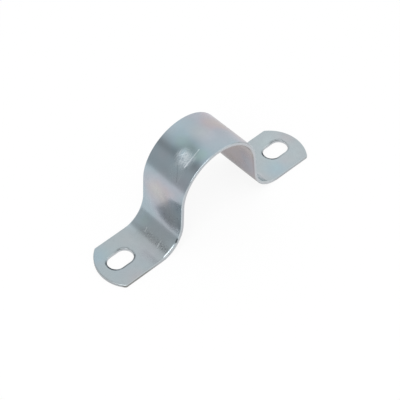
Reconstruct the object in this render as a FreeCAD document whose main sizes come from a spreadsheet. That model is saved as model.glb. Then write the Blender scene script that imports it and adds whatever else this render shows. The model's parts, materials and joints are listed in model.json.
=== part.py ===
"""Two-hole conduit strap: one strip of sheet steel, pressed into an omega, that holds a conduit on a wall.

Frame: millimetres, +Z up. The origin lies on the wall face, under the middle of the arch. X runs along
the strap from slot to slot, and Y across the strip, which is also the way the conduit runs.

How the real one is made: a press blanks the strip with rounded ends and two screw slots. A second blow
folds the arch, the two legs and the two bends into the feet. The half at +X is modelled and mirrored,
because the press tool is symmetric about the middle of the arch. The cut-off punch sits off the strip's
centre line, so both rounded ends lean to the same long side, and the slots sit a little to the other.
"""
import FreeCAD, Part
import math
import os

import Sketcher

# Driving dimensions in millimetres and degrees. Each is written here once and drives the model.
SIZES = {
    "strip_width": 20.0,  # across the strip
    "sheet_thickness": 1.2,
    "arch_radius": 16.3,  # inner face of the arch, for a 32 mm conduit
    "leg_length": 8.5,  # straight part of a leg, between the arch and the bend
    "leg_angle": 86.0,  # slope of the legs against the wall, in degrees
    "bend_radius": 10.8,  # upper face of the bend between a leg and its foot
    "foot_length": 17.8,  # flat part of a foot, from the bend to the tip
    "slot_to_tip": 9.3,  # middle of a slot to the tip of its foot
    "slot_length": 10.1,  # end to end, along the strap
    "slot_width": 6.7,
    "slot_offset": 0.35,  # slots off the centre line, towards +Y
    "end_radius": 13.7,  # rounded end of each foot
    "end_offset": 1.2,  # centre of the rounded end off the centre line, towards -Y
    "corner_radius": 1.0,  # where the rounded end meets the long side
    "edge_radius": 0.2,  # rolled edge of the outer face, on the side that the punch came from
}

# How far the cutting outline of an end runs past the tip, how sharp an edge must be to get the rolled
# edge, and how near two sizes must be to count as the same.
TRIM_MARGIN = 0.5
SHARP_DEGREES = 45.0
CLOSE = 0.01


def make_sheet(doc):
    """The spreadsheet that holds the driving dimensions, one alias each."""
    sheet = doc.addObject("Spreadsheet::Sheet", "sizes")
    for row, (name, value) in enumerate(SIZES.items(), start=1):
        sheet.set(f"A{row}", name)
        sheet.set(f"B{row}", str(value))
        sheet.setAlias(f"B{row}", name)
    doc.recompute()
    return sheet


def origin_plane(body, role):
    """One of the body's own origin planes, such as XY_Plane."""
    return next(f for f in body.Origin.OriginFeatures if f.Role == role)


def new_sketch(body, name, role):
    """An empty sketch on one of the body's origin planes."""
    sketch = body.newObject("Sketcher::SketchObject", name)
    sketch.AttachmentSupport = [(origin_plane(body, role), "")]
    sketch.MapMode = "FlatFace"
    return sketch


def line(sketch, start, end):
    """Adds a line between two (x, y) points and gives its index."""
    return sketch.addGeometry(Part.LineSegment(vector(start), vector(end)))


def arc(sketch, centre, radius, first, last):
    """Adds an arc, counter-clockwise from angle first to angle last in degrees, and gives its index."""
    circle = Part.Circle(vector(centre), FreeCAD.Vector(0, 0, 1), radius)
    return sketch.addGeometry(Part.ArcOfCircle(circle, math.radians(first), math.radians(last)))


def vector(point):
    """A point of a sketch as a vector in its plane."""
    return FreeCAD.Vector(point[0], point[1], 0)


def add(sketch, kind, *where):
    """Adds a geometric constraint, or a dimension where the last value is a number."""
    return sketch.addConstraint(Sketcher.Constraint(kind, *where))


def dimension(sketch, name, kind, where, value, expression):
    """Adds a named dimension and binds it to the sheet."""
    index = add(sketch, kind, *where, value)
    sketch.renameConstraint(index, name)
    sketch.setExpression(f"Constraints.{name}", expression)


# Point numbers that a sketch constraint takes: a curve's start, end and centre, and the two sketch axes.
START, END, CENTRE = 1, 2, 3
X_AXIS, Y_AXIS = -1, -2

# Where the tip of the foot comes out, read from the finished section, for what is cut near the tip.
TIP_X = "half_section.Constraints.tip_x / 1 mm"


def section_points():
    """Where the section's lines and arcs meet, worked out from the driving dimensions."""
    size = SIZES
    angle = math.radians(size["leg_angle"])
    thick, leg = size["sheet_thickness"], size["leg_length"]
    outer = size["arch_radius"] + thick
    reach = outer + size["bend_radius"]
    bend_z = thick + size["bend_radius"]
    bend_x = reach * math.sin(angle) + leg * math.cos(angle)
    arch_z = bend_z + leg * math.sin(angle) - reach * math.cos(angle)

    def on_arch(radius):
        return (radius * math.sin(angle), arch_z + radius * math.cos(angle))

    def on_bend(radius):
        return (bend_x - radius * math.sin(angle), bend_z - radius * math.cos(angle))

    return {
        "arch": (0.0, arch_z),
        "bend": (bend_x, bend_z),
        "outer_top": on_arch(outer),
        "outer_foot": on_bend(size["bend_radius"]),
        "inner_top": on_arch(size["arch_radius"]),
        "inner_foot": on_bend(size["bend_radius"] + thick),
        "crown_z": arch_z + outer,
        "tip_x": bend_x + size["foot_length"],
    }


def draw_section(body):
    """Half of the omega, as a closed outline one sheet thick: arch, leg, bend and foot."""
    size = SIZES
    at = section_points()
    thick, radius, bend = size["sheet_thickness"], size["arch_radius"], size["bend_radius"]
    slope, top = size["leg_angle"], at["crown_z"]
    sketch = new_sketch(body, "half_section", "XZ_Plane")
    crown = line(sketch, (0, top - thick), (0, top))
    outer_arch = arc(sketch, at["arch"], radius + thick, 90 - slope, 90)
    outer_leg = line(sketch, at["outer_top"], at["outer_foot"])
    upper_bend = arc(sketch, at["bend"], bend, 270 - slope, 270)
    foot_top = line(sketch, (at["bend"][0], thick), (at["tip_x"], thick))
    tip = line(sketch, (at["tip_x"], thick), (at["tip_x"], 0))
    foot_base = line(sketch, (at["tip_x"], 0), (at["bend"][0], 0))
    lower_bend = arc(sketch, at["bend"], bend + thick, 270 - slope, 270)
    inner_leg = line(sketch, at["inner_foot"], at["inner_top"])
    inner_arch = arc(sketch, at["arch"], radius, 90 - slope, 90)

    # Smooth joints: each tangent constraint also makes the two ends meet.
    add(sketch, "Tangent", outer_arch, START, outer_leg, START)
    add(sketch, "Tangent", outer_leg, END, upper_bend, START)
    add(sketch, "Tangent", upper_bend, END, foot_top, START)
    add(sketch, "Tangent", foot_base, END, lower_bend, END)
    add(sketch, "Tangent", lower_bend, START, inner_leg, START)
    add(sketch, "Tangent", inner_leg, END, inner_arch, START)
    # Square corners.
    add(sketch, "Coincident", crown, END, outer_arch, END)
    add(sketch, "Coincident", crown, START, inner_arch, END)
    add(sketch, "Coincident", foot_top, END, tip, START)
    add(sketch, "Coincident", tip, END, foot_base, START)
    add(sketch, "Horizontal", foot_top)
    add(sketch, "Horizontal", foot_base)
    add(sketch, "Vertical", tip)
    # Both arcs of the arch turn about one point over the origin, and both arcs of the bend about another.
    add(sketch, "PointOnObject", crown, START, Y_AXIS)
    add(sketch, "PointOnObject", crown, END, Y_AXIS)
    add(sketch, "PointOnObject", outer_arch, CENTRE, Y_AXIS)
    add(sketch, "Coincident", inner_arch, CENTRE, outer_arch, CENTRE)
    add(sketch, "Coincident", lower_bend, CENTRE, upper_bend, CENTRE)
    add(sketch, "PointOnObject", foot_base, START, X_AXIS)

    dimension(sketch, "arch_radius", "Radius", (inner_arch,), radius, "sizes.arch_radius")
    dimension(sketch, "bend_radius", "Radius", (upper_bend,), bend, "sizes.bend_radius")
    through_crown, through_foot = (crown, START, crown, END), (tip, END, tip, START)
    dimension(sketch, "crown_thickness", "DistanceY", through_crown, thick, "sizes.sheet_thickness")
    dimension(sketch, "foot_thickness", "DistanceY", through_foot, thick, "sizes.sheet_thickness")
    dimension(sketch, "leg_length", "Distance", (outer_leg,), size["leg_length"], "sizes.leg_length")
    downhill = -math.radians(slope)
    dimension(sketch, "leg_slope", "Angle", (outer_leg,), downhill, "-sizes.leg_angle * 1 deg")
    along_foot = (foot_top, START, foot_top, END)
    dimension(sketch, "foot_length", "DistanceX", along_foot, size["foot_length"], "sizes.foot_length")
    # Measured, not set: the sizes above decide it.
    tip_x = add(sketch, "DistanceX", tip, END, at["tip_x"])
    sketch.setDriving(tip_x, False)
    sketch.renameConstraint(tip_x, "tip_x")
    return sketch


def draw_slot(body):
    """The screw slot: two half circles joined by straight sides, its length along the strap."""
    size = SIZES
    radius = size["slot_width"] / 2
    straight = size["slot_length"] - size["slot_width"]
    near = section_points()["tip_x"] - size["slot_to_tip"] - straight / 2
    far = near + straight
    y = size["slot_offset"]
    sketch = new_sketch(body, "slot_outline", "XY_Plane")
    near_end = arc(sketch, (near, y), radius, 90, 270)
    lower = line(sketch, (near, y - radius), (far, y - radius))
    far_end = arc(sketch, (far, y), radius, -90, 90)
    upper = line(sketch, (far, y + radius), (near, y + radius))
    add(sketch, "Tangent", near_end, END, lower, START)
    add(sketch, "Tangent", lower, END, far_end, START)
    add(sketch, "Tangent", far_end, END, upper, START)
    add(sketch, "Tangent", upper, END, near_end, START)
    add(sketch, "Horizontal", lower)
    add(sketch, "Equal", near_end, far_end)
    dimension(sketch, "end_radius", "Radius", (near_end,), radius, "sizes.slot_width / 2")
    dimension(
        sketch, "straight", "DistanceX", (near_end, CENTRE, far_end, CENTRE), straight,
        "sizes.slot_length - sizes.slot_width",
    )
    dimension(
        sketch, "near_centre", "DistanceX", (near_end, CENTRE), near,
        f"{TIP_X} - sizes.slot_to_tip - (sizes.slot_length - sizes.slot_width) / 2",
    )
    dimension(sketch, "offset", "DistanceY", (near_end, CENTRE), y, "sizes.slot_offset")
    return sketch


def draw_end_trim(body):
    """What the cut-off punch takes from a foot: all that lies outside the rounded end."""
    size = SIZES
    radius, offset = size["end_radius"], size["end_offset"]
    tip_x = section_points()["tip_x"]
    x, y = tip_x - radius, -offset
    out_x = tip_x + TRIM_MARGIN
    side = size["strip_width"] / 2 + radius
    sketch = new_sketch(body, "end_outline", "XY_Plane")
    rounded = arc(sketch, (x, y), radius, -90, 90)
    upper_side = line(sketch, (x, y + radius), (x, side))
    upper = line(sketch, (x, side), (out_x, side))
    outside = line(sketch, (out_x, side), (out_x, -side))
    lower = line(sketch, (out_x, -side), (x, -side))
    lower_side = line(sketch, (x, -side), (x, y - radius))
    loop = [rounded, upper_side, upper, outside, lower, lower_side]
    for first, second in zip(loop, loop[1:] + loop[:1]):
        add(sketch, "Coincident", first, END, second, START)
    for upright in (upper_side, outside, lower_side):
        add(sketch, "Vertical", upright)
    for level in (upper, lower):
        add(sketch, "Horizontal", level)
    add(sketch, "Vertical", rounded, START, rounded, CENTRE)
    add(sketch, "Vertical", rounded, END, rounded, CENTRE)
    dimension(sketch, "end_radius", "Radius", (rounded,), radius, "sizes.end_radius")
    dimension(sketch, "centre_x", "DistanceX", (rounded, CENTRE), x, f"{TIP_X} - sizes.end_radius")
    dimension(sketch, "centre_y", "DistanceY", (rounded, CENTRE), y, "-sizes.end_offset")
    dimension(sketch, "out_x", "DistanceX", (outside, START), out_x, f"{TIP_X} + {TRIM_MARGIN}")
    past_side = "sizes.strip_width / 2 + sizes.end_radius"
    dimension(sketch, "upper_y", "DistanceY", (outside, START), side, past_side)
    dimension(sketch, "lower_y", "DistanceY", (outside, END), -side, f"-({past_side})")
    return sketch


def punch(body, sketch, name):
    """Cuts a sketch that lies on the wall face up through the foot."""
    pocket = body.newObject("PartDesign::Pocket", name)
    pocket.Profile = sketch
    pocket.Type = "ThroughAll"
    pocket.Reversed = True
    return pocket


def check_cut(before, after):
    """Stops the build if a punch took nothing away, as one that points off the sheet would."""
    if after.Shape.Volume > before.Shape.Volume - CLOSE:
        raise RuntimeError(f"{after.Label} cut nothing")


def face_normal(face, point):
    """The face's outward normal at a point on it."""
    u, v = face.Surface.parameter(point)
    return face.normalAt(u, v)


def edge_names(shape, wanted):
    """Names such as Edge7 of the edges that wanted(edge, normals of its two faces) picks."""
    names = []
    for number, edge in enumerate(shape.Edges, start=1):
        faces = [face for face in shape.Faces if any(edge.isSame(other) for other in face.Edges)]
        middle = edge.valueAt((edge.FirstParameter + edge.LastParameter) / 2)
        normals = [face_normal(face, middle) for face in faces]
        if len(normals) == 2 and wanted(edge, normals):
            names.append(f"Edge{number}")
    return names


def is_foot_corner(edge, normals):
    """The upright edges, one sheet thick, where a rounded end meets the long sides of the strip."""
    box = edge.BoundBox
    through_foot = abs(box.ZLength - SIZES["sheet_thickness"]) < CLOSE and box.ZMin < CLOSE
    on_side = abs(max(abs(box.YMin), abs(box.YMax)) - SIZES["strip_width"] / 2) < CLOSE
    return through_foot and on_side and normals[0].getAngle(normals[1]) > CLOSE


def is_outer_rim(edge, normals):
    """The sharp edges of the outer face, which looks away from the wall, at its sides, ends and slots."""
    sharp = normals[0].getAngle(normals[1]) > math.radians(SHARP_DEGREES)
    return sharp and max(normal.z for normal in normals) > CLOSE


def round_edges(body, base, name, wanted, alias):
    """A fillet on the edges that wanted picks, with its radius from the sheet."""
    fillet = body.newObject("PartDesign::Fillet", name)
    fillet.Base = (base, edge_names(base.Shape, wanted))
    fillet.setExpression("Radius", f"sizes.{alias}")
    return fillet


def build_strap(doc):
    """The whole strap, as one body."""
    body = doc.addObject("PartDesign::Body", "strap")
    body.Label = "strap"

    section = draw_section(body)
    sheet_half = body.newObject("PartDesign::Pad", "folded_sheet")
    sheet_half.Profile = section
    sheet_half.SideType = "Symmetric"
    sheet_half.setExpression("Length", "sizes.strip_width")
    doc.recompute()

    slot = punch(body, draw_slot(body), "screw_slot")
    doc.recompute()
    check_cut(sheet_half, slot)
    rounded_end = punch(body, draw_end_trim(body), "rounded_end")
    doc.recompute()
    check_cut(slot, rounded_end)

    both_halves = body.newObject("PartDesign::Mirrored", "both_halves")
    both_halves.Originals = [sheet_half, slot, rounded_end]
    both_halves.MirrorPlane = (origin_plane(body, "YZ_Plane"), [""])
    body.Tip = both_halves
    doc.recompute()

    corners = round_edges(body, both_halves, "foot_corners", is_foot_corner, "corner_radius")
    doc.recompute()
    rims = round_edges(body, corners, "rolled_edges", is_outer_rim, "edge_radius")
    body.Tip = rims
    doc.recompute()
    return body


def check(doc, body):
    """Stops the build if anything failed, or if the strap isn't one sound solid of the size asked for."""
    failed = [o.Label for o in doc.Objects if {"Invalid", "Error"} & set(o.State)]
    if failed:
        raise RuntimeError(f"these objects failed: {failed}")
    loose = [o.Label for o in doc.Objects if o.TypeId == "Sketcher::SketchObject" and not o.FullyConstrained]
    if loose:
        raise RuntimeError(f"these sketches aren't fully constrained: {loose}")
    shape = body.Shape
    if shape.isNull() or not shape.isValid() or len(shape.Solids) != 1:
        raise RuntimeError("the strap isn't one valid solid")


def main():
    doc = FreeCAD.newDocument("conduit_strap")
    make_sheet(doc)
    strap = build_strap(doc)
    check(doc, strap)
    os.makedirs("parts", exist_ok=True)
    strap.Shape.exportStep(os.path.join("parts", f"{strap.Label}.step"))
    box = strap.Shape.optimalBoundingBox(False, False)
    print(f"strap {box.XLength:.2f} x {box.YLength:.2f} x {box.ZLength:.2f} mm, {strap.Shape.Volume:.1f} mm3")
    arch_z = section_points()["arch"][1]
    slot_x = section_points()["tip_x"] - SIZES["slot_to_tip"]
    print(f"arch centre {arch_z:.3f} mm above the wall, slots {2 * slot_x:.3f} mm apart")


main()
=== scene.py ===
# %% [markdown]
# # Conduit strap in zinc-plated steel
# The real thing is one strip of sheet steel. A press cuts it flat, with rounded ends and two screw slots,
# and a second blow folds it into an arch with two feet. It is then plated with bright zinc in a rotating
# barrel.
#
# The construction is already made at its real size. This script dresses it: a finer strap with rolled edges
# and the small marks of the press, its metal, a white floor, soft light and the camera. First the packed
# model is loaded, and its box is kept; the dressed strap is built to stay inside it.

# %% Load the imported strap
import json
import math

import bmesh
import bpy
from mathutils import Matrix, Vector, noise


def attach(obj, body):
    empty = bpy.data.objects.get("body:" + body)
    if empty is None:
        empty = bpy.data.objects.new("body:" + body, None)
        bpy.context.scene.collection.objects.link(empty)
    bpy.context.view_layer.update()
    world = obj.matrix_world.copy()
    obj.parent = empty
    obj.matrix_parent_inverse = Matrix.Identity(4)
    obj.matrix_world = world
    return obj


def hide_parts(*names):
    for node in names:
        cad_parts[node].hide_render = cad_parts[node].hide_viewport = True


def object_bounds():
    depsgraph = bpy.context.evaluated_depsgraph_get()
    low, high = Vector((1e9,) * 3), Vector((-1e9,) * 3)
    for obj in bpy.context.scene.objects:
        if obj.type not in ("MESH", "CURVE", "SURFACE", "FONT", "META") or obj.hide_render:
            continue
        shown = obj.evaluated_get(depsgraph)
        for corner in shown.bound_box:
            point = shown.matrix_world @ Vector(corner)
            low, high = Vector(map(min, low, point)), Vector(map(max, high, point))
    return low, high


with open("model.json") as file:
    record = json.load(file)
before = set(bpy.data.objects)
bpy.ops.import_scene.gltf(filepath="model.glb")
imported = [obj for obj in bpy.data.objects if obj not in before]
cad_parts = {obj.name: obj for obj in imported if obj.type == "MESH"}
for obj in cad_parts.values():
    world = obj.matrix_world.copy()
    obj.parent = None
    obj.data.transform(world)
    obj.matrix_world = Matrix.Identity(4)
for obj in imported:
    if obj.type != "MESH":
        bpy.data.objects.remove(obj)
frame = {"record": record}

MM = 0.001  # one millimetre, in the metres that every object here uses

cad_low, cad_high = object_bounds()
cad_size_mm = [(high - low) / MM for low, high in zip(cad_low, cad_high)]
print("CAD box in mm:", [round(value, 2) for value in cad_size_mm])

# %% [markdown]
# ## The sizes
# A strap like this is described by a few shop sizes. The record says what the conduit and the screws need,
# and the box gives the width and the length. The rest are the press tool's own radii. Everything below is
# worked out from these, in millimetres.

# %% Driving sizes
mounts = {mount["name"]: mount for mount in frame["record"]["mounts"]}
arch_radius = mounts["conduit_seat"]["dims"]["r_mm"]
slot_radius = mounts["fixing_slots"]["dims"]["hole_r_mm"]
slot_length = mounts["fixing_slots"]["dims"]["slot_length_mm"]
slot_centre_x = mounts["fixing_slots"]["dims"]["spacing_x_mm"] / 2
slot_centre_y = mounts["fixing_slots"]["pos_m"][1] / MM
strip_width = cad_size_mm[1]

sheet = 1.2
leg_angle = math.radians(86)
leg_length = 8.5
bend_radius = 10.8
end_radius = 13.7
end_offset = 1.2
corner_radius = 1.0
roll_radius = 0.3
burr_radius = 0.06

half_width = strip_width / 2
arch_middle = arch_radius + sheet / 2
bend_middle = bend_radius + sheet / 2
bend_x = (arch_middle + bend_middle) * math.sin(leg_angle) + leg_length * math.cos(leg_angle)
bend_z = sheet / 2 + bend_middle
arch_z = bend_z + leg_length * math.sin(leg_angle) - (arch_middle + bend_middle) * math.cos(leg_angle)
tip_x = cad_size_mm[0] / 2
print("arch centre", round(arch_z, 2), "mm up, bend centres", round(bend_x, 2), "mm out")

# %% [markdown]
# ## The camera
# The photograph looks down at about 49 degrees from the left front, with a long lens. Its place was found
# by laying the strap's outline over the photograph's. The camera stands half a metre away and looks at a
# point just beside the strap's middle, and the picture is square.

# %% Camera
camera_azimuth = math.radians(-41.16)
camera_elevation = math.radians(49.02)
camera_roll = math.radians(-1.79)
camera_distance = 510.2
picture_width = 400
pixels_per_radian = 1434.4
aim_right = -0.35
aim_up = 1.73

towards_camera = Vector((
    math.sin(camera_azimuth) * math.cos(camera_elevation),
    -math.cos(camera_azimuth) * math.cos(camera_elevation),
    math.sin(camera_elevation),
))
level_right = Vector((math.cos(camera_azimuth), math.sin(camera_azimuth), 0))
level_up = towards_camera.cross(level_right)
camera_right = math.cos(camera_roll) * level_right + math.sin(camera_roll) * level_up
camera_up = math.cos(camera_roll) * level_up - math.sin(camera_roll) * level_right

camera_data = bpy.data.cameras.new("camera")
camera_data.sensor_width = 36
camera_data.lens = pixels_per_radian * camera_data.sensor_width / picture_width
camera_data.clip_start = 0.01
camera = bpy.data.objects.new("camera", camera_data)
axes = Matrix((camera_right, camera_up, towards_camera)).transposed()
camera_place = MM * (camera_distance * towards_camera + aim_right * camera_right + aim_up * camera_up)
camera.matrix_world = Matrix.Translation(camera_place) @ axes.to_4x4()
bpy.context.scene.collection.objects.link(camera)
bpy.context.scene.camera = camera
print("lens", round(camera_data.lens, 1), "mm, camera at", [round(value, 3) for value in camera_place])

# %% [markdown]
# ## Colours and nodes
# Colours are written as the hex values that a paint program shows, and one function turns them into the
# linear numbers that light is added up in. One small function adds a node with its settings and its links.

# %% Helpers for colours and nodes
def linear(hex_colour):
    """A colour such as "ABB6BB" as linear red, green, blue and alpha."""
    parts = [int(hex_colour[k:k + 2], 16) / 255 for k in (0, 2, 4)]
    return [c / 12.92 if c <= 0.04045 else ((c + 0.055) / 1.055) ** 2.4 for c in parts] + [1.0]


def add_node(tree, kind, settings=None, inputs=None):
    """Adds a node. settings are its own fields, and inputs are values or other nodes' outputs to link."""
    node = tree.nodes.new(kind)
    for name, value in (settings or {}).items():
        setattr(node, name, value)
    for name, value in (inputs or {}).items():
        if isinstance(value, bpy.types.NodeSocket):
            tree.links.new(value, node.inputs[name])
        else:
            node.inputs[name].default_value = value
    return node


print("middle grey 808080 is", round(linear("808080")[0], 3), "in linear light")

# %% [markdown]
# ## The floor
# The photograph has a plain white ground. Here it is white card, just under the feet. To the camera and in
# reflections it is partly as bright as pure white, and partly lit, so that it keeps a soft shadow of the
# strap. Light Path tells the material whether it is seen straight on or in a mirror, and each has its own
# white share. Card is matt, so the strap leaves a soft shadow on it and no mirror image.

# %% Floor sheet
floor_reach = 3.0
floor_gap = 0.02

floor_mesh = bpy.data.meshes.new("white_card")
corners = [(x * floor_reach, y * floor_reach, -floor_gap * MM)
           for x, y in ((-1, -1), (1, -1), (1, 1), (-1, 1))]
floor_mesh.from_pydata(corners, [], [(0, 1, 2, 3)])
floor = bpy.data.objects.new("white_card", floor_mesh)
bpy.context.scene.collection.objects.link(floor)
print("floor", 2 * floor_reach, "m wide,", floor_gap, "mm under the feet")

# %% White card
floor_white_share = 0.88
mirrored_white_share = 0.6

card = bpy.data.materials.new("white_card")
card.use_nodes = True
tree = card.node_tree
tree.nodes.clear()
lit = add_node(tree, "ShaderNodeBsdfDiffuse", inputs={"Color": linear("F4F4F4")})
white = add_node(tree, "ShaderNodeEmission", inputs={"Color": linear("FFFFFF"), "Strength": 1.0})
path = add_node(tree, "ShaderNodeLightPath")
seen = add_node(tree, "ShaderNodeMath", {"operation": "MULTIPLY"},
                {0: path.outputs["Is Camera Ray"], 1: floor_white_share})
mirrored = add_node(tree, "ShaderNodeMath", {"operation": "MAXIMUM"},
                    {0: path.outputs["Is Glossy Ray"], 1: path.outputs["Is Transmission Ray"]})
white_share = add_node(tree, "ShaderNodeMath", {"operation": "MULTIPLY_ADD"},
                       {0: mirrored.outputs[0], 1: mirrored_white_share, 2: seen.outputs[0]})
mixed = add_node(tree, "ShaderNodeMixShader",
                 inputs={0: white_share.outputs[0], 1: lit.outputs[0], 2: white.outputs[0]})
add_node(tree, "ShaderNodeOutputMaterial", inputs={"Surface": mixed.outputs[0]})
floor_mesh.materials.append(card)
print("pure white's share is", floor_white_share, "seen and", mirrored_white_share, "mirrored")

# %% [markdown]
# ## The light
# Polished metal shows its surroundings, so the light is really a room for the strap to mirror. The room is
# white, and falls off to grey on the left. A ramp over the world's sideways direction gives that, with no
# picture.

# %% World
room_levels = (  # (sideways direction from -1, left, to 1, right; grey level)
    (-1.0, 0.58), (-0.45, 0.58), (-0.37, 0.65), (-0.25, 0.75), (-0.15, 0.82), (0.0, 0.88), (0.3, 0.96),
    (0.45, 1.0),
)

world = bpy.data.worlds.new("white_room")
bpy.context.scene.world = world
world.use_nodes = True
tree = world.node_tree
tree.nodes.clear()
direction = add_node(tree, "ShaderNodeTexCoord")
sideways = add_node(tree, "ShaderNodeSeparateXYZ", inputs={0: direction.outputs["Generated"]})
position = add_node(tree, "ShaderNodeMapRange", inputs={"Value": sideways.outputs["X"], "From Min": -1.0})
level = add_node(tree, "ShaderNodeValToRGB", inputs={0: position.outputs[0]})


def set_ramp(node, stops):
    """Fills a ramp node with stops of (place from 0 to 1, grey level or linear colour)."""
    ramp = node.color_ramp
    while len(ramp.elements) > 1:
        ramp.elements.remove(ramp.elements[-1])
    for number, (place, colour) in enumerate(stops):
        stop = ramp.elements[0] if number == 0 else ramp.elements.new(place)
        stop.position = place
        stop.color = colour if isinstance(colour, (list, tuple)) else (colour, colour, colour, 1)


set_ramp(level, [((x + 1) / 2, grey) for x, grey in room_levels])
room = add_node(tree, "ShaderNodeBackground", inputs={"Color": level.outputs[0], "Strength": 1.0})
add_node(tree, "ShaderNodeOutputWorld", inputs={"Surface": room.outputs[0]})
print("room from", room_levels[0][1], "on the left to", room_levels[-1][1], "on the right")

# %% [markdown]
# At the left rear a grey card leans over the strap, as a photographer's flag does. The side of the arch and
# the left bend mirror it as a dark band, and that band is what shows the eye that the metal is bright. The
# card is lighter at its foot and along its rim, and the darker strip between them draws the dark line along
# the band's upper side. It glows at its own grey level and isn't lit, so that the level of its mirror image
# can be set exactly.

# %% Grey card at the left rear
card_foot_x = -215
card_top_x = -63
card_top_z = 160
card_near_y = 15
card_far_y = 600
card_levels = (  # (height from 0, the foot, to 1, the rim; grey level)
    (0.0, 0.58), (0.05, 0.58), (0.69, 0.58), (0.79, 0.46), (0.89, 0.46), (0.955, 0.54), (1.0, 0.60),
)

flag_mesh = bpy.data.meshes.new("grey_card")
corners = [(card_foot_x, card_near_y, 0), (card_foot_x, card_far_y, 0),
           (card_top_x, card_far_y, card_top_z), (card_top_x, card_near_y, card_top_z)]
flag_mesh.from_pydata([[value * MM for value in corner] for corner in corners], [], [(0, 1, 2, 3)])
flag = bpy.data.objects.new("grey_card", flag_mesh)
bpy.context.scene.collection.objects.link(flag)
flag.visible_camera = False
flag.visible_shadow = False
flag.visible_diffuse = False

grey = bpy.data.materials.new("grey_card")
grey.use_nodes = True
tree = grey.node_tree
tree.nodes.clear()
on_card = add_node(tree, "ShaderNodeTexCoord")
up_card = add_node(tree, "ShaderNodeSeparateXYZ", inputs={0: on_card.outputs["Generated"]})
shade = add_node(tree, "ShaderNodeValToRGB", inputs={0: up_card.outputs["Z"]})
set_ramp(shade, card_levels)
glow = add_node(tree, "ShaderNodeEmission", inputs={"Color": shade.outputs[0], "Strength": 1.0})
add_node(tree, "ShaderNodeOutputMaterial", inputs={"Surface": glow.outputs[0]})
flag_mesh.materials.append(grey)
print("grey card", card_far_y - card_near_y, "mm long, its rim", card_top_z, "mm up")

# %% [markdown]
# One wide softbox hangs over the left front. The flat of the metal looks past it, but the rolled edges and
# the curled side of the bend mirror it as thin bright lines, and it casts the strap's soft shadow. It hangs
# far away, so that the floor is lit evenly.

# %% Lamp
lamp_lean = math.radians(-30)
lamp_forward = -0.30
lamp_distance = 2.0
lamp_width, lamp_depth = 2.3, 1.0
lamp_radiance = 2.6

lamp_direction = Vector((math.sin(lamp_lean), lamp_forward, math.cos(lamp_lean))).normalized()
lamp_right = Vector((math.cos(lamp_lean), 0, -math.sin(lamp_lean)))
lamp_axes = Matrix((lamp_right, lamp_direction.cross(lamp_right), lamp_direction)).transposed()
lamp_data = bpy.data.lights.new("softbox", "AREA")
lamp_data.shape = "RECTANGLE"
lamp_data.size = lamp_width
lamp_data.size_y = lamp_depth
lamp_data.energy = lamp_radiance * math.pi * lamp_width * lamp_depth
lamp = bpy.data.objects.new("softbox", lamp_data)
lamp.matrix_world = Matrix.Translation(lamp_distance * lamp_direction) @ lamp_axes.to_4x4()
bpy.context.scene.collection.objects.link(lamp)

bpy.context.scene.view_settings.view_transform = "Standard"
print("softbox of", round(lamp_data.energy, 1), "W at", lamp_distance, "m")

# %% [markdown]
# ## The fold
# The press bends the flat strip without stretching its middle layer. So each point of the flat strip has
# one place on the finished strap: u is how far it lies from the crown, measured along the strip, v is how
# far across it lies, and w is its height over the sheet's middle layer. This function is the press: it
# takes (u, v, w) to the folded place. Modelling flat and folding later gives an even mesh, and the metal's
# grain can follow the strip.

# %% The press, as a function
arch_ends = arch_middle * leg_angle
leg_ends = arch_ends + leg_length
bend_ends = leg_ends + bend_middle * leg_angle
tip_u = bend_ends + tip_x - bend_x


def fold(u, v, w):
    """Where a point of the flat strip goes, in millimetres."""
    side, run = math.copysign(1, u), abs(u)
    if run < arch_ends:
        turn = run / arch_middle
        x = (arch_middle + w) * math.sin(turn)
        z = arch_z + (arch_middle + w) * math.cos(turn)
    elif run < leg_ends:
        down = run - arch_ends
        x = (arch_middle + w) * math.sin(leg_angle) + down * math.cos(leg_angle)
        z = arch_z + (arch_middle + w) * math.cos(leg_angle) - down * math.sin(leg_angle)
    elif run < bend_ends:
        turn = (bend_ends - run) / bend_middle
        x = bend_x - (bend_middle - w) * math.sin(turn)
        z = bend_z - (bend_middle - w) * math.cos(turn)
    else:
        x = bend_x + run - bend_ends
        z = sheet / 2 + w
    return Vector((side * x, v, z))


print("flat strip", round(2 * tip_u, 2), "mm long")

# %% [markdown]
# ## The blank
# The flat blank is cut from strip in one blow: a plain middle, and at each end a foot with a slot. The
# middle is a grid of small squares, closer together towards its sides, where the bend will curl. The
# outermost row is just wider than the rolled edge, so that the rolling stays within it.

# %% Rows across the strip
side_zone, side_rows, middle_rows = 2.2, 8, 32
rim_row_width = 1.4 * roll_radius


def spread(start, end, steps):
    """Evenly spaced numbers from start up to, but without, end."""
    return [start + (end - start) * k / steps for k in range(steps)]


first_row = half_width - rim_row_width
across_places = [half_width] + spread(first_row, half_width - side_zone, side_rows)
across_places += spread(half_width - side_zone, side_zone - half_width, middle_rows)
across_places += spread(side_zone - half_width, -first_row, side_rows) + [-first_row, -half_width]
rows = len(across_places) - 1
print(rows, "rows of squares across the strip")

# %% [markdown]
# A foot's outline starts at the join with the plain middle, runs down one side, round a small corner, along
# the rounded end, and back up the other side. The rounded end's centre lies a little off the strip's
# middle, so the two corners differ.

# %% The outline of a foot
side_steps, corner_steps, end_steps = 30, 6, 44


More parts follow.
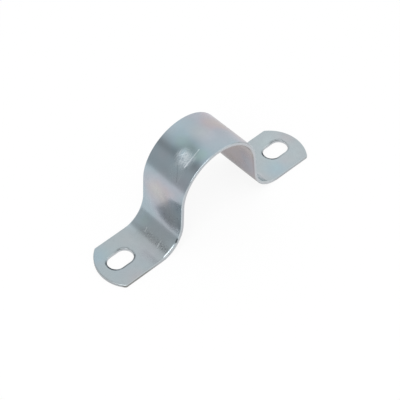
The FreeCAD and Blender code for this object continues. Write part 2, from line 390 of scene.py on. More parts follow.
def foot_outline():
    """The foot of the +u end as a loop of (u, v) points: join, side, rounded end, other side."""
    centre = Vector((tip_u - end_radius, -end_offset))
    corners = {}
    for sign in (-1, 1):
        across = sign * (half_width - corner_radius)
        along = math.sqrt((end_radius - corner_radius) ** 2 - (across - centre.y) ** 2)
        corners[sign] = centre + Vector((along, across - centre.y))
    lean = {sign: math.atan2(corners[sign].y - centre.y, corners[sign].x - centre.x) for sign in corners}
    points = [(bend_ends, v) for v in across_places[:-1]]
    points += [(u, -half_width) for u in spread(bend_ends, corners[-1].x, side_steps)]
    for angle in spread(-math.pi / 2, lean[-1], corner_steps):
        points.append(tuple(corners[-1] + corner_radius * Vector((math.cos(angle), math.sin(angle)))))
    for angle in spread(lean[-1], lean[1], end_steps):
        points.append(tuple(centre + end_radius * Vector((math.cos(angle), math.sin(angle)))))
    for angle in spread(lean[1], math.pi / 2, corner_steps):
        points.append(tuple(corners[1] + corner_radius * Vector((math.cos(angle), math.sin(angle)))))
    points += [(u, half_width) for u in spread(corners[1].x, bend_ends, side_steps)]
    return points


outline = foot_outline()
print(len(outline), "points round each foot")

# %% [markdown]
# A slot cut by a boolean would leave long thin triangles. Here rings of squares run from the slot out to
# that outline, so that both are smooth. The first and the last ring are wider than the others, so that the
# rolling stays within them too.

# %% The blank as a flat mesh
arch_steps, leg_steps, bend_steps, rings = 44, 8, 36, 12
first_ring = 0.11
ring_shares = [0] + spread(first_ring, 1 - first_ring, rings - 2) + [1 - first_ring, 1]
slot_middle = bend_ends + slot_centre_x - bend_x
slot_reach = slot_length / 2 - slot_radius


def slot_edge(u, v):
    """The point of the slot's rim that is nearest to a point outside it."""
    core = Vector((min(max(u, slot_middle - slot_reach), slot_middle + slot_reach), slot_centre_y))
    return core + slot_radius * (Vector((u, v)) - core).normalized()


def flat_blank():
    """The blank in the plane w = 0, as a bmesh of squares, in millimetres."""
    blank = bmesh.new()
    half = spread(0, arch_ends, arch_steps) + spread(arch_ends, leg_ends, leg_steps)
    half += spread(leg_ends, bend_ends, bend_steps) + [bend_ends]
    along = [-u for u in reversed(half[1:])] + half
    grid = [[blank.verts.new((u, v, 0)) for v in across_places] for u in along]
    for first, second in zip(grid, grid[1:]):
        for k in range(rows):
            blank.faces.new((first[k], first[k + 1], second[k + 1], second[k]))
    for side, column in ((1, grid[-1]), (-1, grid[0])):
        loops = []
        for ring, share in enumerate(ring_shares):
            loop = []
            for number, (u, v) in enumerate(outline):
                if ring == rings and number <= rows:
                    loop.append(column[number])
                    continue
                rim = slot_edge(u, v)
                place_u, place_v = rim.x + (u - rim.x) * share, rim.y + (v - rim.y) * share
                loop.append(blank.verts.new((side * place_u, place_v, 0)))
            loops.append(loop)
        for inner, outer in zip(loops, loops[1:]):
            for k in range(len(outline)):
                m = (k + 1) % len(outline)
                face = (inner[k], outer[k], outer[m], inner[m])
                blank.faces.new(face if side == 1 else face[::-1])
    bmesh.ops.recalc_face_normals(blank, faces=blank.faces)
    return blank


blank = flat_blank()
if sum(face.normal.z for face in blank.faces) < 0:
    bmesh.ops.reverse_faces(blank, faces=blank.faces)
print(len(blank.faces), "squares in the flat blank")

# %% [markdown]
# ## Gauge and rolled edges
# The blank gets its thickness by pulling a copy of its face down. The punch drags the face that it enters
# into a soft round edge, and breaks out of the other side with an edge that tumbling in the plating barrel
# dulls a little. So the outer rim gets a wide bevel and the inner rim a narrow one. A Solidify modifier
# would do the same, but would not leave each point its height in the sheet for the metal's pattern.

# %% Give the blank its gauge and roll its rims
sharp_angle = math.radians(60)
same_height = 0.001
roll_steps, burr_steps = 5, 2


def thicken(blank):
    """Turns the flat face into a closed plate, half a gauge to each side of the middle layer."""
    faces = list(blank.faces)
    pulled = bmesh.ops.extrude_face_region(blank, geom=faces, use_keep_orig=True)
    moved = [part for part in pulled["geom"] if isinstance(part, bmesh.types.BMVert)]
    bmesh.ops.translate(blank, verts=moved, vec=(0, 0, -sheet))
    bmesh.ops.translate(blank, verts=blank.verts, vec=(0, 0, sheet / 2))
    bmesh.ops.recalc_face_normals(blank, faces=blank.faces)


def rim_edges(blank, height):
    """The sharp edges of the plate at one height."""
    return [
        edge for edge in blank.edges
        if len(edge.link_faces) == 2 and edge.calc_face_angle() > sharp_angle
        and all(abs(vert.co.z - height) < same_height for vert in edge.verts)
    ]


thicken(blank)
for height, radius, steps in ((sheet / 2, roll_radius, roll_steps), (-sheet / 2, burr_radius, burr_steps)):
    edges = rim_edges(blank, height)
    bmesh.ops.bevel(blank, geom=edges, offset=radius, offset_type="OFFSET", segments=steps, profile=0.5,
                    affect="EDGES", clamp_overlap=False)
print(len(blank.faces), "faces after rolling the rims")

# %% [markdown]
# ## What the press leaves behind
# Real pressed sheet is never quite true. The sheet is faintly wavy. An ejector pin has left a shallow
# dimple in the left shoulder of the arch, with a raised lip on its crown side, where the pushed metal went.
# The sides of the left bend curl down a little, because metal that is squeezed on one face spreads sideways
# there. These are shapes, so they go into the mesh, not into the material: the dark band that the strap
# mirrors bends around them.
#
# The curl may use up to nine tenths of the room that the bend leaves over the wall, so it never sinks below
# the foot. The waves only ever push down, and end before the feet, so the strap stays inside its box. Noise
# fills space, so each pattern takes a slice of its own.

# %% Dimple, lip, curl and waves
dimple_u, dimple_v, dimple_depth = -7.9, -3.0, 0.50
dimple_floor = 0.6
dimple_left, dimple_right, dimple_across = 5.0, 5.8, 4.4
lip_u, lip_v, lip_height = -4.0, -2.3, 0.12
lip_along, lip_across = 3.4, 6.5
curl_u, curl_flat, curl_reach = -45.6, 0.8, 9.0
curl_width, curl_drop, curl_room_share = 1.1, 0.36, 0.9
wave_length, wave_height, wave_slice = 8.0, 0.012, 5.3


def bell(distance):
    """1 in the middle, 0 from a distance of 1 on, smooth at both."""
    return 0.5 + 0.5 * math.cos(math.pi * min(abs(distance), 1))


def press_marks(u, v):
    """How far the sheet lies above or below its ideal place, in millimetres."""
    wave = wave_height * (noise.noise((u / wave_length, v / wave_length, wave_slice)) - 1)
    wave *= bell(max(0, abs(u) - leg_ends) / (bend_ends - leg_ends))
    reach = dimple_right if u > dimple_u else dimple_left
    dimple_run = max(0, abs(u - dimple_u) - dimple_floor) / (reach - dimple_floor)
    dimple_side = max(0, abs(v - dimple_v) - dimple_floor) / (dimple_across - dimple_floor)
    dimple = -dimple_depth * bell(dimple_run) * bell(dimple_side)
    lip = lip_height * bell((u - lip_u) / lip_along) * bell((v - lip_v) / lip_across)
    side = max(0, (abs(v) - half_width + curl_width) / curl_width)
    lifted = bend_middle * (1 - math.cos(min(1, max(0, (bend_ends - abs(u)) / bend_middle))))
    curl = curl_drop * bell(max(0, abs(u - curl_u) - curl_flat) / (curl_reach - curl_flat))
    curl = -min(curl, curl_room_share * lifted) * side ** 2
    return wave + dimple + lip + curl


print("dimple", round(press_marks(dimple_u, dimple_v), 2), "mm, lip", round(press_marks(lip_u, lip_v), 2),
      "mm, curl", round(press_marks(curl_u, -half_width), 2), "mm")

# %% [markdown]
# ## Fold the plate
# Each point of the plate is now carried through the press, with its mark added to its height. It keeps its
# flat place as an attribute, because the metal's patterns are laid out on the flat strip. The shading is
# weighted by face size, so the broad faces stay even right up to their rolled rims.

# %% The folded strap
def strap_mesh(blank):
    """The folded strap in metres, each point keeping its place on the flat strip for the metal's pattern."""
    mesh = bpy.data.meshes.new("strap_sheet")
    flat = [vert.co.copy() for vert in blank.verts]
    for vert in blank.verts:
        u, v, w = vert.co
        vert.co = fold(u, v, w + press_marks(u, v)) * MM
    blank.to_mesh(mesh)
    flat_places = mesh.attributes.new("flat_mm", "FLOAT_VECTOR", "POINT")
    flat_places.data.foreach_set("vector", [value for co in flat for value in co])
    return mesh


mesh = strap_mesh(blank)
blank.free()
mesh.shade_smooth()
strap = bpy.data.objects.new("strap_sheet", mesh)
bpy.context.scene.collection.objects.link(strap)
weighted = strap.modifiers.new("even_shading", "WEIGHTED_NORMAL")
weighted.mode = "FACE_AREA"
weighted.weight = 50
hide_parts("strap")
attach(strap, "root")
print(len(mesh.vertices), "points in the folded strap")

# %% [markdown]
# ## Zinc-plated steel
# Bright zinc is a soft silvery metal, bluer than steel. A clear chromate film over it, thinner than the
# light's waves, gives it the faint colours of oil on water: cyan and blue where it is thickest, then
# violet, pink and straw as it gets thinner, and bare silver at last. The film drains and dries unevenly in
# the barrel, so it wanders over a centimetre or so.
#
# Each point of the mesh gets a number from 0, the thickest film, to 1, the thinnest, and the material turns
# it into a colour. The number is a slow cloud of noise, plus soft oval areas where the photograph shows
# another colour. The underside is nearly all straw and silver.

# %% Film
film_base = 0.30
underside_base = 0.80
film_cloud_size, film_cloud_height, film_cloud_slice = 6.0, 0.12, 1.7
fine_cloud_share, fine_cloud_scale, fine_cloud_slice = 0.5, 2.1, 8.3
film_areas = (  # u, v, half length, half width, change
    (-62, 0, 16, 30, -0.14), (-52, -4, 9, 9, 0.24), (-62, -6, 8, 7, 0.24), (-61, -9.8, 7, 3, 0.25),
    (-53, 5, 5, 4, 0.16), (-43, 6, 6, 6, -0.22), (-26, 1, 12, 13, 0.46), (-20, -6, 8, 8, 0.16),
    (-36, -3, 9, 10, 0.24), (-33, 5.5, 5, 6, 0.12), (-25.5, -4.5, 4, 4, -0.12), (-5, 0, 7, 13, -0.20),
    (-3, 9, 6, 4, -0.04), (-5, -7, 5, 4, -0.16), (4, -1, 9, 12, 0.18), (4.5, 9.5, 5, 4, 0.14),
    (3, 4, 7, 8, 0.06), (10.5, 4.5, 9, 9, 0.34), (14, -1, 9, 10, 0.36), (12.5, -8.5, 7, 6, 0.24),
    (13, 9.5, 8, 6, 0.20), (44, -5, 5, 7, 0.20), (42.5, -8.8, 4.5, 4.5, 0.22), (60, 0, 20, 30, -0.12),
    (66, 2, 6, 8, 0.40), (59, -6, 5, 5, 0.24), (64, -8, 6, 5, 0.10),
)
underside_film_areas = ((31, -7, 9, 8, -0.22), (36, 0, 5, 14, -0.10))


def change_at(u, v, areas):
    """What a list of soft oval areas adds at one place: all of it in the middle, nothing outside."""
    return sum(change * bell(math.hypot((u - middle_u) / half_u, (v - middle_v) / half_v))
               for middle_u, middle_v, half_u, half_v, change in areas)


def film_thinness(u, v, w):
    """From 0, the thickest film, to 1, the thinnest."""
    place = Vector((u, v, 0)) / film_cloud_size
    cloud = noise.noise(place + Vector((0, 0, film_cloud_slice)))
    cloud += fine_cloud_share * noise.noise(fine_cloud_scale * place + Vector((0, 0, fine_cloud_slice)))
    base, areas = (film_base, film_areas) if w >= 0 else (underside_base, underside_film_areas)
    return min(max(base + film_cloud_height * cloud + change_at(u, v, areas), 0), 1)


flat_places = [tuple(point.vector) for point in mesh.attributes["flat_mm"].data]


def keep_on_mesh(name, rule):
    """Works out one number for each point from its flat place, and keeps it on the mesh for the material."""
    values = [rule(*place) for place in flat_places]
    mesh.attributes.new(name, "FLOAT", "POINT").data.foreach_set("value", values)
    print(name, "from", round(min(values), 2), "to", round(max(values), 2))


keep_on_mesh("film", film_thinness)

# %% [markdown]
# The film doesn't show equally everywhere. It is strong on the arch and the legs, and pale on the feet,
# which rub against their neighbours in the barrel. A few areas differ again: the film is worn on the left
# leg and the crown, and is rich on the arch's right side and at the tip of the left foot. The right half
# may show up to twice the plain tint.

# %% How strongly the film shows
foot_strength = 0.4
strength_fade_length = 14
left_limit, right_limit = 1, 2
film_strength_areas = (  # u, v, half length, half width, change
    (-69, 9, 12, 12, 0.6), (53, -7, 8, 7, 0.5), (-45, 9, 8, 6, 0.3), (-54, -5, 9, 8, 0.2),
    (1.6, 1, 6, 6, -0.5), (-26.5, 3.0, 8, 8, -0.6), (-32.5, -6, 8, 9, -0.6), (16, 0, 7, 24, 0.35),
    (13, 10, 7, 6, 0.5), (42.6, -8.4, 4.0, 4.5, -0.3), (-63, -4, 7, 6, 0.25), (-64, 6, 7, 6, 0.25),
)


def film_strength(u, v, w):
    """How much of its colour the film shows: 0 is plain zinc, 1 the film's colour, 2 twice its tint."""
    strength = foot_strength + (1 - foot_strength) * bell(max(0, abs(u) - leg_ends) / strength_fade_length)
    return min(max(strength + change_at(u, v, film_strength_areas), 0), left_limit if u < 0 else right_limit)


keep_on_mesh("film_strength", film_strength)

# %% [markdown]
# Plating isn't equally bright either. Zinc is duller where the plating current was weak, and brighter where
# the barrel polished it. The same factor also carries painted light and shade: many of its areas lighten or
# darken what the metal mirrors, such as the darkened right flank of the arch, and the underside is darkened
# as painted shade of the floor's shadow under the arch, which it mirrors. One painted dark line across the
# left shoulder, which fades out before the near rim, stands in for a mirrored dark line. Each is a soft area
# as before, and the number is a factor on the zinc's colour.

# %% How bright the plating is, with painted light and shade
# The underside's plain level is painted shade: the floor's shadow under the arch, which the inside mirrors.
underside_painted_shade = 0.81
# A painted dark line across the left shoulder, standing in for a mirrored dark line.
painted_dark_line_u, painted_dark_line_width, painted_dark_line_length, painted_dark_line_change = -9.9, 1.9, 8, -0.12
# Many of these areas are painted light and shade over what the metal mirrors, such as the two that darken the
# arch's right flank near u 16; the rest is the plating's own brightness.
plating_and_painted_light_areas = (  # u, v, half length, half width, change
    (-46.5, 9, 4, 5, 0.14), (-46.5, -1, 3, 14, 0.05), (-43.5, -8.5, 3.5, 4, 0.12), (-44, 9, 7, 8, 0.20),
    (-34.5, 0, 3, 3, 0.12), (-33, 5, 5, 5, 0.05), (-31, -6, 9, 10, 0.34), (-25.5, -8.5, 3, 3, 0.06),
    (-25.4, 3.3, 6, 6, 0.09), (-40.5, 9, 3, 4, 0.06), (-22.5, -8.5, 3.5, 4, -0.08), (-16.5, -1, 3, 22, -0.06),
    (-8.4, -7.5, 3.2, 4.0, -0.24), (-8.2, 1.8, 2.6, 3.5, -0.10), (-7.5, 0.2, 3, 3.4, -0.08),
    (-4.2, -0.8, 4.0, 6.0, -0.15), (-3.5, 9, 5, 4, 0.09), (-2, -2, 4, 6, -0.05), (1.8, -1.5, 5, 5, 0.06),
    (4, 5, 6, 8, -0.03), (7.5, -3, 4, 4, -0.03), (7.2, 0, 4, 18, -0.04), (15.5, 0, 9, 18, -0.33),
    (17.8, 0, 4.5, 20, -0.16), (43.4, -4.8, 3.6, 6.5, 0.36), (42.6, -7.0, 3.0, 3.6, 0.16),
    (43.2, -9.4, 3, 2.6, -0.08), (61.5, 5, 5, 5, 0.05), (60, 0, 26, 24, 0.10), (68, 0, 4, 14, -0.03),
)
# Areas of painted light and shade on the underside; the line near u 37.4 is painted shade of the floor's
# contact shadow, mirrored at the right bend.
underside_painted_shade_areas = (
    (28, -9.5, 12, 5, 0.12), (35.5, 3, 4.5, 12, -0.10), (38.5, -4, 3.5, 14, -0.15), (38.5, -9, 4, 7, -0.10),
    (37.4, 0, 3.2, 30, -0.17), (25, -10.2, 16, 1.6, -0.26),
)


def plating_with_painted_light(u, v, w):
    """How bright the zinc is against its plain level, with painted light and shade in it."""
    if w < 0:
        return underside_painted_shade + change_at(u, v, underside_painted_shade_areas)
    painted_dark_line = bell((u - painted_dark_line_u) / painted_dark_line_width) * bell(min(0, v) / painted_dark_line_length)
    return 1 + change_at(u, v, plating_and_painted_light_areas) + painted_dark_line_change * painted_dark_line


keep_on_mesh("plating", plating_with_painted_light)

# %% [markdown]
# ## The material reads the mesh
# The material reads those three numbers, and each point's place on the flat strip in millimetres. So every
# pattern below is laid out on the flat strip and bends with it, as rolling grain and scratches really do.
# The film's colours are a ramp in the order in which a thinning film shows them, and the plating, with its
# painted light and shade, is a factor on the result.

# %% The metal, its place and its film
film_colours = (
    (0.00, "A1BBBC"),  # thickest: cyan with a trace of green
    (0.18, "A5B9C3"),  # blue
    (0.36, "AAB7C0"),  # pale blue
    (0.52, "B1B5BF"),  # lilac
    (0.66, "B9B2B8"),  # pink
    (0.80, "BEB4B3"),  # salmon
    (0.90, "B9B8B5"),  # straw
    (1.00, "B0B9B8"),  # thinnest: silver with a trace of green
)
plain_zinc = linear("B3B8B8")

metal = bpy.data.materials.new("zinc_plated_steel")
metal.use_nodes = True
tree = metal.node_tree
shader = tree.nodes["Principled BSDF"]
mesh.materials.append(metal)

flat = add_node(tree, "ShaderNodeAttribute", {"attribute_name": "flat_mm"}).outputs["Vector"]
along, across, height = add_node(tree, "ShaderNodeSeparateXYZ", inputs={0: flat}).outputs
on_sheet = add_node(tree, "ShaderNodeVectorMath", {"operation": "MULTIPLY"},
                    {0: flat, 1: (1, 1, 0)}).outputs[0]
film_here = add_node(tree, "ShaderNodeAttribute", {"attribute_name": "film"}).outputs["Fac"]
strength_here = add_node(tree, "ShaderNodeAttribute", {"attribute_name": "film_strength"}).outputs["Fac"]
plating_and_light_here = add_node(tree, "ShaderNodeAttribute", {"attribute_name": "plating"}).outputs["Fac"]

tinted = add_node(tree, "ShaderNodeValToRGB", inputs={0: film_here})
set_ramp(tinted, [(place, linear(colour)) for place, colour in film_colours])
filmed = add_node(tree, "ShaderNodeMix", {"data_type": "RGBA", "clamp_factor": False},
                  {0: strength_here, 6: plain_zinc, 7: tinted.outputs[0]}).outputs[2]
# The plating factor, with its painted light and shade, scales the film's colour.
plated_with_light_and_shade = add_node(tree, "ShaderNodeVectorMath", {"operation": "SCALE"},
                  {0: filmed, "Scale": plating_and_light_here}).outputs[0]
print(len(film_colours), "colours of film over", metal.name)

# %% [markdown]
# ## Zones
# Most marks belong to a zone of the strap: a band of heights on the cut face, one side of a slot, a length
# of rim. Places are in millimetres on the flat strip, and heights are over its middle layer. A zone is a
# mask, 1 inside and 0 outside, with soft limits. It is the product of its limits, and other masks and plain
# strengths can join in. Where several marks overlap, the strongest counts. And a level, such as a
# roughness, is its plain value plus what each mask adds to it or takes away.

# %% Masks for zones of the strap
def zone(*parts):
    """A zone's mask. A part is a limit (measure, where it is 0, where it is 1), a mask or a strength."""
    total = None
    for part in parts:
        if isinstance(part, tuple):
            measure, outside, inside = part
            part = add_node(tree, "ShaderNodeMapRange", {"interpolation_type": "SMOOTHSTEP"},
                            {"Value": measure, "From Min": outside, "From Max": inside}).outputs[0]
        if total is None:
            total = part
        else:
            total = add_node(tree, "ShaderNodeMath", {"operation": "MULTIPLY"},
                             {0: total, 1: part}).outputs[0]
    return total


def strongest(*masks):
    """The strongest of some masks at each place."""
    total = masks[0]
    for mask in masks[1:]:
        total = add_node(tree, "ShaderNodeMath", {"operation": "MAXIMUM"}, {0: total, 1: mask}).outputs[0]
    return total


def with_changes(plain, *changes):
    """A plain level plus, for each (mask, amount), that amount where the mask is 1."""
    total = plain
    for mask, amount in changes:
        total = add_node(tree, "ShaderNodeMath", {"operation": "MULTIPLY_ADD"},
                         {0: mask, 1: amount, 2: total}).outputs[0]
    return total


face_height = sheet / 2
roll_start = face_height - roll_radius
print("the outer face lies at height", face_height, "and its rims roll from", round(roll_start, 2))

# %% [markdown]
# ## Grain and mottle
# Cold-rolled strip keeps fine lines from the rolls along its length, a few hundredths of a millimetre
# apart. In the picture a millimetre is about three pixels, so the grain is drawn some ten times as coarse,
# and faintly. The plating adds a soft mottle of a millimetre or two. Both are noise on the flat strip. The
# grain's is stretched.

# %% Rolling grain and plating mottle
grain_spacing = 0.35
grain_length = 9.0
mottle_size = 2.2

grain_place = add_node(tree, "ShaderNodeVectorMath", {"operation": "MULTIPLY"},
                       {0: on_sheet, 1: (1 / grain_length, 1 / grain_spacing, 0)}).outputs[0]
grain = add_node(tree, "ShaderNodeTexNoise",
                 inputs={"Vector": grain_place, "Scale": 1.0, "Detail": 3.0}).outputs[0]
mottle = add_node(tree, "ShaderNodeTexNoise",
                  inputs={"Vector": on_sheet, "Scale": 1 / mottle_size, "Detail": 3.0}).outputs[0]
print("grain", grain_spacing, "mm apart, mottle", mottle_size, "mm")

# %% [markdown]
# ## Scratches
# A scratch is a line on the flat strip, so it is drawn as one: the distance from each point to the line,
# faded out at the scratch's width. The line wobbles a little, because a hard grain never travels quite
# straight.

# %% Distance to a line on the flat strip
wobble_size = 1.1
wobble_width = 0.12

wobble = add_node(tree, "ShaderNodeTexNoise",
                  inputs={"Vector": on_sheet, "Scale": 1 / wobble_size, "Detail": 2.0}).outputs["Color"]
centred = add_node(tree, "ShaderNodeVectorMath", {"operation": "SUBTRACT"},
                   {0: wobble, 1: (0.5, 0.5, 0.5)}).outputs[0]
wobbled = add_node(tree, "ShaderNodeVectorMath", {"operation": "MULTIPLY_ADD"},
                   {0: centred, 1: (wobble_width, wobble_width, 0), 2: on_sheet}).outputs[0]


def distance_to(start, end, where):
    """The distance in millimetres from a place on the flat strip to the line from start to end."""
    run = Vector((end[0] - start[0], end[1] - start[1], 0))
    from_start = add_node(tree, "ShaderNodeVectorMath", {"operation": "SUBTRACT"},
                          {0: where, 1: (start[0], start[1], 0)}).outputs[0]
    if run.length == 0:
        return add_node(tree, "ShaderNodeVectorMath", {"operation": "LENGTH"},
                        {0: from_start}).outputs["Value"]
    along_run = add_node(tree, "ShaderNodeVectorMath", {"operation": "DOT_PRODUCT"},
                         {0: from_start, 1: run / run.length}).outputs["Value"]
    kept = add_node(tree, "ShaderNodeClamp", inputs={"Value": along_run, "Max": run.length}).outputs[0]
    nearest = add_node(tree, "ShaderNodeVectorMath", {"operation": "SCALE"},
                       {0: run / run.length, "Scale": kept}).outputs[0]
    return add_node(tree, "ShaderNodeVectorMath", {"operation": "DISTANCE"},
                    {0: from_start, 1: nearest}).outputs["Value"]


def strokes(lines, where):
    """One mask for many scratches: lines are (start, end, width in mm, strength)."""
    return strongest(*[zone((distance_to(start, end, where), width, 0.0), strength)
                       for start, end, width, strength in lines])


print("scratches wobble by", wobble_width, "mm")

# %% [markdown]
# Fresh scratches in zinc are brighter than the film around them and rougher, and catch the lamp. The long
# one beside the dimple was dragged by the ejector pin. Dark ones are older and hold dirt, except one dark
# line along the curled side of the bend, which is painted shade that splits its bright reflection in two. The
# black nick sits on the near rim, just before the bright curled side of the bend. A line is drawn by its
# place on the strip alone, at every height of the sheet, so outer_side keeps its colour on the outer face.

# %% Bright scratches and dark nicks
bright_lines = (
    ((-11.6, -4.9), (-7.6, -4.75), 0.20, 0.85),  # the long drag mark beside the dimple, in two runs
    ((-7.9, -4.8), (-3.9, -4.65), 0.17, 0.60),
    ((-17.6, -5.3), (-14.2, -5.2), 0.15, 0.12),  # its faint run towards the leg
    ((-30.0, -5.4), (-26.0, -5.3), 0.15, 0.09),
    ((-26.8, -6.2), (-21.5, -4.9), 0.15, 0.07),
    ((-45.6, 2.8), (-43.9, 3.2), 0.15, 0.42),  # ticks where the bend rubbed on the die
    ((-46.5, -4.8), (-44.3, -4.5), 0.14, 0.42),
    ((-47.0, -5.1), (-45.6, -5.0), 0.14, 0.34),
)
dark_lines = (
    ((-12.2, -1.9), (-14.5, -3.6), 0.20, 0.28),  # a thin dark hairline down the shoulder
    ((-14.5, -3.6), (-17.3, -5.0), 0.20, 0.36),
    ((-43.2, -9.30), (-48.8, -9.45), 0.14, 0.45),  # a painted dark line along the curled side of the bend, shade that splits its bright reflection in two
    ((-41.2, -9.75), (-39.8, -9.7), 0.45, 1.0),  # the black nick on the near rim
)
outer_side = zone((height, 0.2, 0.4))
bright = strokes(bright_lines, wobbled)
dark = strokes(dark_lines, wobbled)
print(len(bright_lines), "bright scratches and", len(dark_lines), "dark ones")

# %% [markdown]
# ## The scuff in the dimple
# The ejector pin slid as it let go, and left a patch of short hairlines in the dimple, and a fainter ring
# beside it. Hairlines are noise stretched along their own direction, cut off so that only the peaks stay.
# Two directions cross at full strength and a third at half. The real ones are finer than a pixel, so these
# are drawn coarser. The patch's outline wanders with the mottle.

# %% Scuffed patch and pin mark
scuff_centre, scuff_radius = (-9.3, -2.8), 3.9
pin_centre, pin_radius = (-14.3, -2.9), 3.3
hairline_spacing = 0.30
hairline_length = 3.4
hairline_cut, hairline_softness = 0.53, 0.13


def hairlines(angle_degrees):
    """Fine parallel scratches at an angle to the strip, from 0 to 1."""
    turned = add_node(tree, "ShaderNodeMapping", {"vector_type": "TEXTURE"},
                      {"Vector": on_sheet, "Rotation": (0, 0, math.radians(angle_degrees)),
                       "Scale": (hairline_length, hairline_spacing, 1)}).outputs[0]
    lines = add_node(tree, "ShaderNodeTexNoise",
                     inputs={"Vector": turned, "Scale": 1.0, "Detail": 0.0}).outputs[0]
    return zone((lines, hairline_cut, hairline_cut + hairline_softness))


scuff_distance = with_changes(distance_to(scuff_centre, scuff_centre, on_sheet), (mottle, 1.0))
scuff = zone((scuff_distance, scuff_radius + 1.4, scuff_radius - 2.0))
pin = zone((distance_to(pin_centre, pin_centre, on_sheet), pin_radius + 0.6, pin_radius - 0.8))
scuff_lines = zone(scuff, strongest(hairlines(12), hairlines(-38), zone(hairlines(-12), 0.5)))
print("scuff", 2 * scuff_radius, "mm wide, hairlines", hairline_spacing, "mm apart")

# %% [markdown]
# ## Where the bend rubbed on the die
# The left bend took the die's full pressure, and shows it as a line of fine specks, some dark and some
# bright, that ends before the far rim. One fine noise gives both: its peaks are the dark specks and its
# hollows the bright ones.

# %% Specks on the left bend
rubbed_line_u, rubbed_half_width = -45.6, 2.6
speck_size = 0.42

from_line = add_node(tree, "ShaderNodeMath", {"operation": "ABSOLUTE"},
                     {0: with_changes(-rubbed_line_u, (along, 1.0))}).outputs[0]
die_rub = zone((from_line, rubbed_half_width, 0.0), (across, 6.0, 1.0))
specks = add_node(tree, "ShaderNodeTexNoise",
                  inputs={"Vector": on_sheet, "Scale": 1 / speck_size, "Detail": 1.0}).outputs[0]
dark_specks = zone(die_rub, (specks, 0.595, 0.665))
bright_specks = zone(die_rub, (specks, 0.40, 0.32))
print("specks of", speck_size, "mm within", rubbed_half_width, "mm of the line")

# %% [markdown]
# ## The cut face
# The punch first shears the sheet, which leaves a smooth burnished band below the rolled edge, and then the
# rest tears and stays grainy. Just below the roll a darker band is painted shade, for the dark side of the
# room that it faces, most of all on the feet and beside the bend's bright curl. The whole cut along the left
# foot's near side is painted darker too, as the floor's shadow that it mirrors, and on the feet the cut face
# keeps less of its light colour, as painted shade. The burr at the very bottom is bright, polished by the
# barrel, with a painted highlight along it. All of these are bands of height: the sheet's middle is at 0,
# its outer face at 0.6 and its inner face at -0.6.

# %% Bands of the cut face
slot_cores = [((middle - slot_reach, slot_centre_y), (middle + slot_reach, slot_centre_y))
              for middle in (-slot_middle, slot_middle)]
left_gap, right_gap = [distance_to(start, end, on_sheet) for start, end in slot_cores]
rim_gap = add_node(tree, "ShaderNodeMath", {"operation": "MINIMUM"}, {0: left_gap, 1: right_gap}).outputs[0]
distance_out = add_node(tree, "ShaderNodeMath", {"operation": "ABSOLUTE"}, {0: along}).outputs[0]

cut_face = zone((height, -0.57, -0.53), (height, roll_start + 0.06, roll_start))
torn = zone(cut_face, (height, 0.02, -0.06))
# Painted shade just below the roll.
shade_below_roll = zone((height, 0.16, 0.24), (height, 0.38, 0.30))
# The burr's band, with a painted highlight along it.
burr_with_highlight = zone((height, -0.52, -0.57), (height, -0.599, -0.59))
on_feet = zone((distance_out, leg_ends + 13, bend_ends + 1), (rim_gap, slot_radius + 0.5, slot_radius + 1.2))
beside_glint = zone((along, -41.0, -43.0), (along, -51.0, -49.0), (across, -8.0, -9.0))
# Painted shade: the floor's shadow that the left foot's near side mirrors.
near_foot_shade = zone((along, -50.0, -58.0), (across, -8.6, -9.3), (height, -0.54, -0.30), (height, 0.44, 0.36))
print("slots' middles at u", round(-slot_middle, 2), "and", round(slot_middle, 2))

# %% [markdown]
# ## The rolled rims
# The outer rims are rubbed bright in spots where the straps knocked together in the barrel. Two lengths of
# rim on the right of the crown are darker instead: the far rim is darker and purplish, and the near rim has a
# thin grey line, painted shade for the dark surroundings that it mirrors.

# %% Rims, rubbed bright, darker, and a line of painted shade
chips_per_mm = 1.3
chip_noise = add_node(tree, "ShaderNodeTexNoise",
                      inputs={"Vector": flat, "Scale": chips_per_mm, "Detail": 3.0}).outputs[0]
at_rim = zone((height, roll_start, roll_start + 0.06), (height, face_height - 0.003, face_height - 0.04))
rubbed = zone(at_rim, (chip_noise, 0.34, 0.60))
far_rim = zone(at_rim, (across, 9.2, 9.6), (along, 2.0, 8.0), (along, 24.0, 20.0))
# A thin line of painted shade on the near rim, for the dark surroundings it mirrors.
near_rim_shade_line = zone((across, -9.2, -9.6), (along, 4.0, 8.0), (along, 18.0, 15.0),
                 (height, 0.40, 0.46), (height, 0.599, 0.58))
print("rubbed spots of about", round(1 / chips_per_mm, 2), "mm on the rims")

# %% [markdown]
# ## The slots
# A dark line of painted shade runs along the slots' rims, the mirror image of their shaded walls. It is
# heaviest round the left end of each slot and strong along its near side, thins out there on the right slot,
# and comes back faintly at the far right. It is broken in places, so the mottle cuts it. At the far right the
# rolled rim itself is painted darker too, with the same shade.

# %% Painted shade round the slots and on their rims
slot_rim_shade_width = 0.62
near_share, near_share_lost = 0.7, 0.5
far_right_share = 0.35
broken_share = 0.4
slot_rim_shade_outer = slot_radius + slot_rim_shade_width
on_right = add_node(tree, "ShaderNodeMath", {"operation": "GREATER_THAN"}, {0: along, 1: 0.0}).outputs[0]
from_middle = with_changes(slot_middle, (along, 1.0), (on_right, -2 * slot_middle))

near_level = with_changes(near_share, (zone(on_right, (from_middle, -3.5, -0.5)), -near_share_lost))
near_slot_rim_shade = zone((across, slot_centre_y + 0.5, slot_centre_y - 2.5), near_level)
far_right_slot_rim_shade = zone((from_middle, -1.0, 2.0), (across, 1.0, 3.0), far_right_share)
left_end_slot_rim_shade = zone((from_middle, -1.0, -4.0), (across, 3.8, 1.6))
slot_rim_shade_breaks = with_changes(broken_share, (zone((mottle, 0.34, 0.52)), 1 - broken_share))
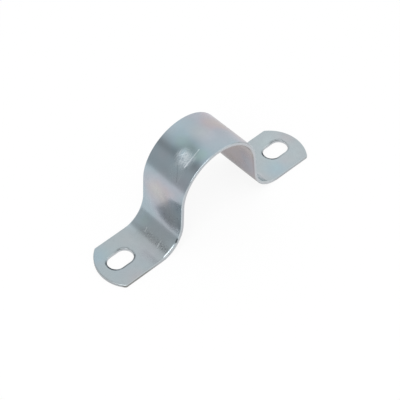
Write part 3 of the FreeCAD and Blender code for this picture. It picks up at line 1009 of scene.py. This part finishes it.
# The painted shade round the slots' rims, the mirror image of their shaded walls.
slot_rim_shade = zone((rim_gap, slot_rim_shade_outer + 0.2, slot_rim_shade_outer - 0.1),
             strongest(near_slot_rim_shade, far_right_slot_rim_shade, left_end_slot_rim_shade), slot_rim_shade_breaks, (height, 0.0, 0.4))
# The rolled rim at the slots' far right, painted darker with the same shade.
slot_roll_shade = zone(at_rim, (rim_gap, slot_radius + 0.6, slot_radius + 0.5),
                 (across, slot_centre_y + 0.5, slot_centre_y + 1.8), (from_middle, -0.6, 1.0))
print("dark line", slot_rim_shade_width, "mm wide round the slots")

# %% [markdown]
# ## Colour
# The colour starts from the plated zinc, and each mark is then laid over it in turn, as a share of its own
# colour. The order matters: the cut face and the rims first, then the rubbed and scuffed places, and
# scratches last.

# %% Colour, from the zinc up to the scratches
# On the feet the cut face keeps less of its light colour, as painted shade of the floor that it mirrors.
cut_share_with_foot_shade = with_changes(0.8, (on_feet, -0.6))
# The share of painted shade just below the roll, strongest on the feet and beside the bend's curl.
shade_below_roll_share = with_changes(0.35, (on_feet, 0.4), (beside_glint, 0.45))
rubbed_share = with_changes(0.28, (on_feet, -0.22))
marks = (  # mask, share, colour
    (zone((mottle, 0.1, 0.9)), 0.25, "A1A9AE"),  # mottle, a little darker
    (cut_face, cut_share_with_foot_shade, "C6CACE"),  # the sheared face has no film
    (shade_below_roll, shade_below_roll_share, "787A7C"),
    (near_foot_shade, 0.7, "797973"),
    (at_rim, 0.35, "C3C8CA"),
    (far_rim, 0.8, "988C92"),
    (near_rim_shade_line, 0.7, "7F8685"),
    (slot_roll_shade, 0.55, "80878A"),
    (burr_with_highlight, 0.6, "E2E6E8"),  # the burr, polished by the barrel, with a painted highlight along it
    (pin, 0.10, "C8D0D3"),
    (scuff, 0.13, "CBDDE8"),
    (scuff_lines, 0.80, "E9F2F7"),
    (dark_specks, 0.60, "4A5258"),
    (bright_specks, 0.55, "E2E8EA"),
    (rubbed, rubbed_share, "E6EBED"),
    (slot_rim_shade, 0.95, "3A4047"),
    (zone(dark, outer_side), 0.9, "2C3238"),
    (zone(bright, outer_side), 1.0, "F2F8FC"),
)
colour = plated_with_light_and_shade
for mask, share, hex_colour in marks:
    colour = add_node(tree, "ShaderNodeMix", {"data_type": "RGBA", "clamp_factor": False},
                      {0: zone(mask, share), 6: colour, 7: linear(hex_colour)}).outputs[2]
print(len(marks), "marks over the plated zinc")

# %% [markdown]
# ## Roughness
# Bright zinc plate mirrors softly: typical values are 0.2 to 0.35, and 0.235 was matched to the blur of the
# dark band's edge. It is smoother where the die burnished the rims, though not on the feet. It is rougher
# in scuffs and scratches, in the torn half of the cut face, and on the legs, which slid down the die.

# %% Roughness
plain_roughness = 0.235
grain_roughness, mottle_roughness = 0.10, 0.12
noise_middle = 0.5
even_roughness = plain_roughness - noise_middle * (grain_roughness + mottle_roughness)
on_legs = zone((distance_out, arch_ends - 3, arch_ends + 2), (distance_out, leg_ends + 5, leg_ends + 1))
rim_polish = with_changes(0.08, (on_feet, -0.20))
roughness = with_changes(even_roughness, (grain, grain_roughness), (mottle, mottle_roughness), (torn, 0.22),
                         (pin, 0.03), (scuff, 0.12), (bright, 0.30), (zone(at_rim, rim_polish), -1.0),
                         (on_legs, 0.06))
print("roughness", plain_roughness, "on the plain metal")

# %% [markdown]
# ## Relief
# The finest forms are bump, in millimetres: the grain is under a thousandth deep, the mottle a few
# thousandths, and a scratch 0.05, which is deeper than a real one so that it shows. Zinc is a metal all
# over, so Metallic is 1, and its IOR stays at the default.

# %% Relief, and the finished metal
relief = with_changes(0.0, (grain, 0.0008), (mottle, 0.004), (scuff_lines, -0.006), (bright, -0.05),
                      (zone(torn, chip_noise), 0.04))
bump = add_node(tree, "ShaderNodeBump", inputs={"Height": relief, "Strength": 1.0, "Distance": MM})

shader.inputs["Metallic"].default_value = 1.0
tree.links.new(colour, shader.inputs["Base Color"])
tree.links.new(roughness, shader.inputs["Roughness"])
tree.links.new(bump.outputs[0], shader.inputs["Normal"])
print(len(tree.nodes), "nodes in the zinc")
